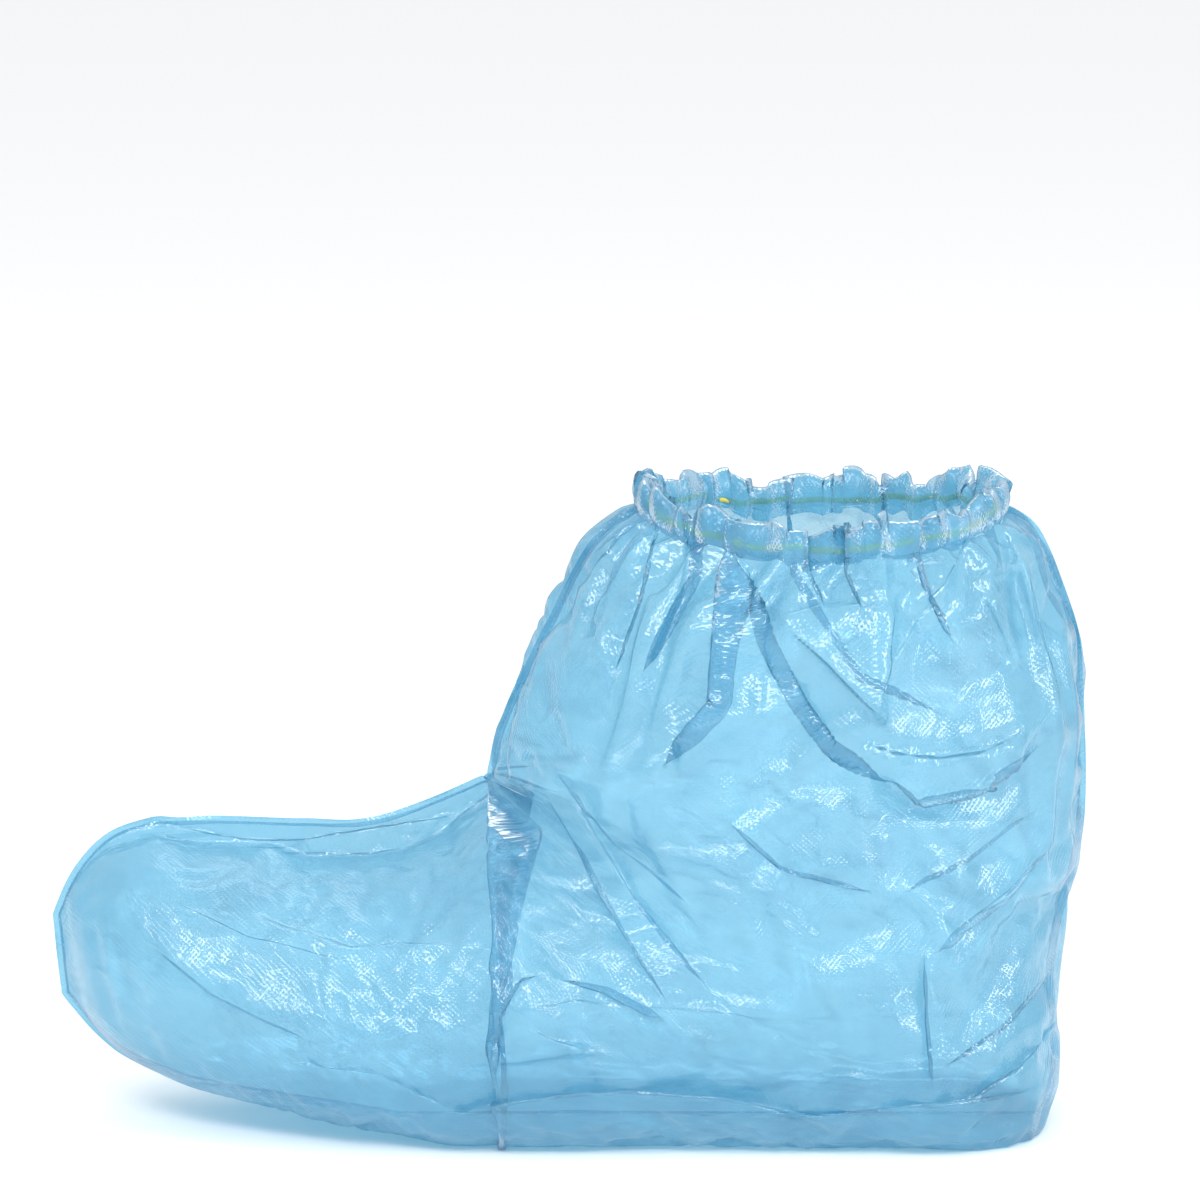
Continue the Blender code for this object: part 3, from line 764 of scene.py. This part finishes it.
def node(tree, kind, inputs=(), **settings):
    """A node with its settings, and its inputs by name: a value, or another node's output."""
    made = tree.nodes.new(kind)
    for name, value in settings.items():
        setattr(made, name, value)
    for name, value in dict(inputs).items():
        if isinstance(value, bpy.types.NodeSocket):
            tree.links.new(value, made.inputs[name])
        else:
            made.inputs[name].default_value = value
    return made


def maths(tree, operation, *values):
    return node(tree, "ShaderNodeMath", enumerate(values), operation=operation).outputs[0]


def vector_maths(tree, operation, *values):
    return node(tree, "ShaderNodeVectorMath", enumerate(values), operation=operation)


def bump(tree, height, distance):
    return node(tree, "ShaderNodeBump", {"Distance": distance, "Height": height}).outputs["Normal"]


def noise(tree, place, scale, detail, roughness=0.5, dimensions="2D"):
    inputs = {"Vector": place, "Scale": scale, "Detail": detail, "Roughness": roughness}
    return node(tree, "ShaderNodeTexNoise", inputs, noise_dimensions=dimensions).outputs


def film_finish(name, settings, layers, hazy=1.0, shine=1.2):
    """Tinted film: it tints what shows through, mirrors the lights, and is embossed and crinkled."""
    finish = bpy.data.materials.new(name)
    finish.use_nodes = True
    tree = finish.node_tree
    tree.nodes.clear()
    flat = node(tree, "ShaderNodeUVMap", uv_map="cut").outputs["UV"]

    # Embossed cushions on a square grid turned by 45 degrees
    dots = 1 / settings.emboss_pitch
    turn = {"Vector": flat, "Rotation": (0, 0, math.radians(45)), "Scale": (dots, dots, 0)}
    turned = node(tree, "ShaderNodeMapping", turn).outputs["Vector"]
    cell = vector_maths(tree, "FRACTION", turned).outputs["Vector"]
    centred = vector_maths(tree, "SUBTRACT", cell, (0.5, 0.5, 0)).outputs["Vector"]
    from_centre = vector_maths(tree, "LENGTH", centred).outputs["Value"]
    cushions = maths(tree, "MINIMUM", from_centre, CUSHION_RADIUS)

    # Crinkles: soft waves, and flat facets between fine wandering creases
    waves = noise(tree, flat, WAVES_SCALE, 2, 0.6)
    wander = {"Fac": CREASE_WANDER, "Color1": flat, "Color2": waves["Color"]}
    moved = node(tree, "ShaderNodeMixRGB", wander, blend_type="LINEAR_LIGHT").outputs["Color"]
    cells = {"Vector": moved, "Scale": CRINKLE_SCALE}
    kind = {"feature": "DISTANCE_TO_EDGE", "voronoi_dimensions": "2D"}
    from_crease = node(tree, "ShaderNodeTexVoronoi", cells, **kind).outputs["Distance"]
    facets = maths(tree, "MINIMUM", from_crease, FACET_FLAT)

    relief = maths(tree, "MULTIPLY", waves["Fac"], settings.crinkle_depth)
    relief = maths(tree, "MULTIPLY_ADD", facets, settings.crinkle_depth * FACET_SHARE, relief)
    relief = maths(tree, "MULTIPLY_ADD", cushions, settings.emboss_depth, relief)
    normal = bump(tree, relief, 1.0)

    # The body: clear tint, darker edge-on, with haze that gathers in clouds and at creases
    colour = {"Color": (*settings.haze_colour, 1), "Normal": normal}
    haze = node(tree, "ShaderNodeBsdfDiffuse", colour).outputs["BSDF"]
    facing = node(tree, "ShaderNodeLayerWeight", {"Blend": 0.35}).outputs["Facing"]
    near = [c**layers for c in settings.tint]
    far = [c**EDGE_ON for c in near]
    shades = {"Fac": facing, "Color1": (*near, 1), "Color2": (*far, 1)}
    tint = node(tree, "ShaderNodeMixRGB", shades).outputs["Color"]
    clear = node(tree, "ShaderNodeBsdfTransparent", {"Color": tint}).outputs["BSDF"]
    lines = maths(tree, "SUBTRACT", 1.0, maths(tree, "MULTIPLY", from_crease, CREASE_SHARPNESS))
    lines = maths(tree, "MULTIPLY", maths(tree, "MAXIMUM", lines, 0.0), waves["Fac"])
    clouds = noise(tree, flat, CLOUDS_SCALE, 3, 0.65)["Fac"]
    cloudy = maths(tree, "MULTIPLY", maths(tree, "SUBTRACT", clouds, 0.5), CLOUDS_HAZE)
    share = maths(tree, "ADD", settings.haze * layers * hazy, cloudy)
    share = maths(tree, "ADD", share, maths(tree, "MULTIPLY", lines, CREASE_HAZE))
    share = maths(tree, "MAXIMUM", share, LEAST_HAZE)
    body = node(tree, "ShaderNodeMixShader", ((0, share), (1, clear), (2, haze))).outputs["Shader"]

    polish = {"Color": (0.96, 0.98, 1.0, 1), "Roughness": settings.gloss, "Normal": normal}
    gloss = node(tree, "ShaderNodeBsdfGlossy", polish).outputs["BSDF"]
    fresnel = node(tree, "ShaderNodeFresnel", {"IOR": 1.5, "Normal": normal}).outputs["Fac"]
    mirrored = maths(tree, "MINIMUM", maths(tree, "MULTIPLY", fresnel, shine), MOST_MIRRORED)
    mix = node(tree, "ShaderNodeMixShader", ((0, mirrored), (1, body), (2, gloss))).outputs["Shader"]
    node(tree, "ShaderNodeOutputMaterial", {"Surface": mix})
    return finish


def latex_finish(colour):
    """Matt latex, faintly speckled."""
    finish = bpy.data.materials.new("latex")
    finish.use_nodes = True
    tree = finish.node_tree
    shader = tree.nodes["Principled BSDF"]
    place = node(tree, "ShaderNodeTexCoord").outputs["Object"]
    speckle = noise(tree, place, 400, 4, dimensions="3D")["Fac"]
    ramp = node(tree, "ShaderNodeValToRGB", {"Fac": speckle})
    ramp.color_ramp.elements[0].color = (*[c * 0.72 for c in colour], 1)
    ramp.color_ramp.elements[1].color = (*colour, 1)
    tree.links.new(ramp.outputs["Color"], shader.inputs["Base Color"])
    shader.inputs["Roughness"].default_value = 0.55
    tree.links.new(bump(tree, speckle, 0.0002), shader.inputs["Normal"])
    return finish


def plain_finish(name, colour, roughness):
    """One even colour."""
    finish = bpy.data.materials.new(name)
    finish.use_nodes = True
    shader = finish.node_tree.nodes["Principled BSDF"]
    shader.inputs["Base Color"].default_value = (*colour, 1)
    shader.inputs["Roughness"].default_value = roughness
    return finish


# Settings


def length_setting(name, description, default):
    return FloatProperty(name=name, description=description, default=default, unit="LENGTH")


def share_setting(name, description, default):
    return FloatProperty(
        name=name, description=description, default=default, min=0, max=1, subtype="FACTOR"
    )


def colour_setting(name, description, default):
    return FloatVectorProperty(
        name=name, description=description, default=default, size=3, subtype="COLOR"
    )


class FilmSettings(bpy.types.PropertyGroup):
    tint: colour_setting("Tint", "What one layer of the film lets through", (0.46, 0.685, 0.785))
    haze_colour: colour_setting("Haze colour", "Colour that the film scatters", (0.22, 0.58, 0.78))
    haze: share_setting("Haze", "Share of the light that one layer scatters", 0.19)
    gloss: share_setting("Roughness", "Roughness of the film's face", 0.17)
    emboss_pitch: length_setting("Emboss pitch", "Distance between the embossed dots", 0.0012)
    emboss_depth: length_setting("Emboss depth", "Depth of the embossed dots", 0.0002)
    crinkle_depth: length_setting("Crinkle depth", "Depth of the fine crinkles", 0.0005)


class WeldSettings(bpy.types.PropertyGroup):
    reach: length_setting("Reach", "How far the welded edge stands out of the panels", 0.0018)


class HemSettings(bpy.types.PropertyGroup):
    height: length_setting("Height", "Height of the hem", HEM_HEIGHT)
    ruffle: length_setting("Ruffle", "How far the hem's edge ruffles in and out", 0.0028)
    curl: length_setting("Curl", "How far the ruffles curl over sideways", 0.0011)
    elastic: length_setting("Elastic diameter", "Diameter of the elastic thread", 0.0018)
    elastic_colour: colour_setting("Elastic colour", "Colour of the latex", (0.72, 0.60, 0.10))


class StageSettings(bpy.types.PropertyGroup):
    elevation: FloatProperty(
        name="Camera elevation",
        description="Height of the camera above the horizon, seen from its target",
        default=math.radians(10.0),
        subtype="ANGLE",
    )
    distance: length_setting("Camera distance", "Distance from the camera to its target", 2.2)
    frame_width: length_setting("Frame width", "Width of the picture at the target", 0.3696)


SHARED = {}  # grids that one operator leaves for the next

# Each panel's name, side of the middle, creases, folds with ridges and facets, seed and solid
PANELS = (
    ("left_film", -1, LEFT_CREASES, (LEFT_FOLDS, LEFT_RIDGES, LEFT_FACETS), 11, "left_panel"),
    ("right_film", 1, RIGHT_CREASES, (RIGHT_FOLDS, RIGHT_RIDGES, RIGHT_FACETS), 29, "right_panel"),
)


class SHOECOVER_OT_film(bpy.types.Operator):
    """Adds the two film panels with their gathers, creases and the pleat at the instep"""

    bl_idname = "shoecover.film"
    bl_label = "Film panels"

    def execute(self, context):
        finish = film_finish("tinted_film", context.scene.shoecover_film, 1)
        grids, flats = zip(*(film_grid(side, creases, seed) for _, side, creases, _, seed, _ in PANELS))
        grids = settle(*grids)
        for (name, side, _, forms, seed, cad), grid, flat in zip(PANELS, grids, flats):
            grid = add_facets(finer(grid, FINER), side, seed + 1)
            grid = finish_grid(fold_over(grid, side, *forms), side)
            mesh = grid_mesh(name, grid, finer(flat, FINER), flip=side < 0)
            made = link(name, mesh, finish)
            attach(made, "root")
            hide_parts(cad)
            SHARED[name] = grid
        return {"FINISHED"}


class SHOECOVER_OT_weld(bpy.types.Operator):
    """Adds the welded edge that joins the panels round the instep, toe, sole and heel"""

    bl_idname = "shoecover.weld"
    bl_label = "Edge weld"

    def execute(self, context):
        settings = context.scene.shoecover_weld
        left, right = SHARED["left_film"], SHARED["right_film"]
        middle = (left + right) / 2
        rows, columns = middle.shape[:2]
        path = [(r, 0) for r in range(rows - 1)]
        path += [(rows - 1, c) for c in range(columns)]
        path += [(r, columns - 1) for r in range(rows - 2, -1, -1)]
        roots = np.array([middle[r, c] for r, c in path])
        roots[:, 1] = 0
        keep = [0]
        for index in range(1, len(roots)):
            if np.linalg.norm(roots[index] - roots[keep[-1]]) > WELD_STEP:
                keep.append(index)
        roots = roots[keep]
        run = np.gradient(roots, axis=0)
        out = np.stack([run[:, 2], run[:, 0] * 0, -run[:, 0]], axis=1)
        out = unit(out)
        if np.sum((roots - roots.mean(axis=0)) * out) < 0:
            out = -out
        for _ in range(6):
            out[1:-1] = (out[:-2] + out[1:-1] * 2 + out[2:]) / 4
        out = unit(out)
        step = np.arange(len(roots))
        wave = WELD_WAVE * np.sin(step * 0.31) * np.sin(step * 0.083 + 1)
        lines = []
        for share in WELD_LINES:
            line = roots + out * settings.reach * share
            line[:, 1] += wave * max(share, 0) ** 2
            line[:, 2] = np.maximum(line[:, 2], FLOOR_CLEARANCE)
            lines.append(line)
        grid = np.array(lines)
        far = distance_along(roots)
        up_weld = np.linspace(0, settings.reach, len(WELD_LINES))[:, None]
        flat = np.stack([np.tile(far, (len(WELD_LINES), 1)), np.tile(up_weld, (1, len(far)))], axis=2)
        finish = film_finish("welded_film", context.scene.shoecover_film, 2, hazy=0.6)
        mesh = grid_mesh("welded_edge", grid, flat, flip=False)
        made = link("welded_edge", mesh, finish)
        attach(made, "root")
        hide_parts("edge_weld")
        return {"FINISHED"}


def mouth_ring():
    """The panels' top edge as a closed ring."""
    left, right = SHARED["left_film"][0], SHARED["right_film"][0]
    return np.concatenate([left[:-1], right[::-1][:-1]])


class SHOECOVER_OT_hem(bpy.types.Operator):
    """Adds the ruffled hem, the film folded inwards over the elastic"""

    bl_idname = "shoecover.hem"
    bl_label = "Gathered hem"

    def execute(self, context):
        settings = context.scene.shoecover_hem
        ring = mouth_ring()
        count = len(ring)
        smooth = evened_ring(ring, 30)
        run = np.roll(smooth, -1, axis=0) - np.roll(smooth, 1, axis=0)
        out = unit(np.stack([run[:, 1], -run[:, 0], run[:, 0] * 0], axis=1))
        share = np.arange(count) / count
        slip = waves_round(share, *HEM_SLIP)
        wave = 0.75 * drawn_wave(HEM_RUFFLES * share + slip) + 0.4 * drawn_wave(19 * share - slip)
        lumps = 0.0012 * drawn_wave(17 * share + 0.3 * slip) + 0.0010 * drawn_wave(7 * share + 0.2)
        lumps += waves_round(share, (0.0006, 43, slip))
        fine = waves_round(share, (HEM_WRINKLE, 71, 2 * slip))
        along_ring = np.stack([-out[:, 1], out[:, 0], out[:, 2]], axis=1)
        curl = waves_round(share, (1, 2 * HEM_RUFFLES, 2 * slip))
        uneven = 0.72 + waves_round(share, *HEM_UNEVEN)
        lines, far = [], []
        for into, rise, ruffle in HEM_PROFILE:
            swing = settings.ruffle * ruffle * uneven * wave
            line = ring + out * (into * HEM_DEPTH + fine + swing)[:, None]
            line += along_ring * (settings.curl * ruffle * uneven * curl)[:, None]
            line[:, 2] += rise * settings.height + ruffle * lumps
            lines.append(line)
            far.append(rise * settings.height)
        grid = np.array(lines)
        around = np.tile(share * HEM_LAID_FLAT, (len(HEM_PROFILE), 1))
        flat = np.stack([around, np.tile(np.array(far)[:, None], (1, count))], axis=2)
        finish = film_finish("doubled_film", context.scene.shoecover_film, 1.6, shine=0.7)
        mesh = grid_mesh("gathered_hem", grid, flat, flip=True, closed=True)
        made = link("gathered_hem", mesh, finish)
        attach(made, "root")
        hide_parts("hem_tunnel")
        SHARED["hem_out"] = out
        return {"FINISHED"}


class SHOECOVER_OT_elastic(bpy.types.Operator):
    """Adds the elastic thread inside the hem"""

    bl_idname = "shoecover.elastic"
    bl_label = "Elastic thread"

    def execute(self, context):
        settings = context.scene.shoecover_hem
        ring, out = mouth_ring(), SHARED["hem_out"]
        share = np.arange(len(ring)) / len(ring)
        inset = ELASTIC_INSET + waves_round(share, (0.0002, 13, 0))
        line = evened_ring(ring - out * inset[:, None], 12)
        line[:, 2] += ELASTIC_HEIGHT + waves_round(share, (0.0005, 9, 0.2))
        curve = bpy.data.curves.new("elastic_loop", "CURVE")
        curve.dimensions = "3D"
        curve.bevel_depth = settings.elastic / 2
        curve.bevel_resolution = 3
        spline = curve.splines.new("POLY")
        spline.points.add(len(line) - 1)
        for point, place in zip(spline.points, line):
            point.co = (*place, 1)
        spline.use_cyclic_u = True
        made = bpy.data.objects.new("elastic_loop", curve)
        context.scene.collection.objects.link(made)
        bpy.ops.object.select_all(action="DESELECT")
        made.select_set(True)
        context.view_layer.objects.active = made
        bpy.ops.object.convert(target="MESH")
        made = context.view_layer.objects.active
        made.data.materials.clear()
        made.data.materials.append(latex_finish(settings.elastic_colour))
        made.data.shade_smooth()
        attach(made, "root")
        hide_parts("elastic_thread")
        return {"FINISHED"}


class SHOECOVER_OT_stage(bpy.types.Operator):
    """Adds the floor, the studio lights and the camera"""

    bl_idname = "shoecover.stage"
    bl_label = "Stage"

    def execute(self, context):
        settings = context.scene.shoecover_stage
        bpy.ops.object.select_all(action="DESELECT")
        bpy.ops.mesh.primitive_plane_add(size=12, location=(0, 0, -0.0002))
        floor = context.object
        floor.name = "floor"
        floor.data.materials.append(plain_finish("floor_paper", (0.92, 0.92, 0.92), 0.9))

        world = bpy.data.worlds.new("studio")
        context.scene.world = world
        world.use_nodes = True
        tree = world.node_tree
        backdrop = tree.nodes["Background"]
        backdrop.inputs["Color"].default_value = (1, 1, 1, 1)
        backdrop.inputs["Strength"].default_value = 1.0
        direction = node(tree, "ShaderNodeTexCoord").outputs["Generated"]
        height = node(tree, "ShaderNodeSeparateXYZ", {"Vector": direction}).outputs["Z"]
        ramp = node(tree, "ShaderNodeValToRGB", {"Fac": height})
        low, high = ramp.color_ramp.elements
        low.position, low.color = 0.0, (0.60, 0.64, 0.68, 1)
        high.position, high.color = 0.75, (0.95, 0.95, 0.95, 1)
        light = {"Strength": 1.1, "Color": ramp.outputs["Color"]}
        room = node(tree, "ShaderNodeBackground", light).outputs["Background"]
        seen = node(tree, "ShaderNodeLightPath").outputs["Is Camera Ray"]
        parts = ((0, seen), (1, room), (2, backdrop.outputs["Background"]))
        mix = node(tree, "ShaderNodeMixShader", parts).outputs["Shader"]
        tree.links.new(mix, tree.nodes["World Output"].inputs["Surface"])

        for name, place, target, size, power in LIGHTS:
            light = bpy.data.lights.new(name, "AREA")
            light.shape = "RECTANGLE"
            light.size, light.size_y = size
            light.energy = power
            lamp = bpy.data.objects.new(name, light)
            context.scene.collection.objects.link(lamp)
            lamp.location = place
            aim = Vector(target) - Vector(place)
            lamp.rotation_euler = aim.to_track_quat("-Z", "Y").to_euler()

        back = Vector((0, -math.cos(settings.elevation), math.sin(settings.elevation)))
        lens = bpy.data.cameras.new("camera")
        lens.sensor_width = 36
        lens.lens = 36 * settings.distance / settings.frame_width
        lens.clip_start, lens.clip_end = 0.05, 50
        camera = bpy.data.objects.new("camera", lens)
        context.scene.collection.objects.link(camera)
        camera.location = Vector(CAMERA_TARGET) + back * settings.distance
        camera.rotation_euler = (-back).to_track_quat("-Z", "Y").to_euler()
        context.scene.camera = camera
        context.scene.view_settings.view_transform = "Standard"
        return {"FINISHED"}


class SHOECOVER_PT_panel(bpy.types.Panel):
    bl_idname = "SHOECOVER_PT_panel"
    bl_label = "Shoe Cover"
    bl_space_type = "VIEW_3D"
    bl_region_type = "UI"
    bl_category = "Shoe Cover"

    def draw(self, context):
        for group, operators in PANEL_ROWS:
            settings = getattr(context.scene, group)
            for name in settings.__annotations__:
                self.layout.prop(settings, name)
            for operator in operators:
                self.layout.operator(operator)


SETTINGS = {
    "shoecover_film": FilmSettings,
    "shoecover_weld": WeldSettings,
    "shoecover_hem": HemSettings,
    "shoecover_stage": StageSettings,
}
PANEL_ROWS = (
    ("shoecover_film", ("shoecover.film",)),
    ("shoecover_weld", ("shoecover.weld",)),
    ("shoecover_hem", ("shoecover.hem", "shoecover.elastic")),
    ("shoecover_stage", ("shoecover.stage",)),
)
CLASSES = (
    *SETTINGS.values(),
    SHOECOVER_OT_film,
    SHOECOVER_OT_weld,
    SHOECOVER_OT_hem,
    SHOECOVER_OT_elastic,
    SHOECOVER_OT_stage,
    SHOECOVER_PT_panel,
)


def register():
    for cls in CLASSES:
        bpy.utils.register_class(cls)
    for name, group in SETTINGS.items():
        setattr(bpy.types.Scene, name, PointerProperty(type=group))


def unregister():
    for name in SETTINGS:
        delattr(bpy.types.Scene, name)
    for cls in reversed(CLASSES):
        bpy.utils.unregister_class(cls)


def main():
    register()
    bpy.ops.shoecover.film()
    bpy.ops.shoecover.weld()
    bpy.ops.shoecover.hem()
    bpy.ops.shoecover.elastic()
    bpy.ops.shoecover.stage()


if __name__ == "__main__":
    main()
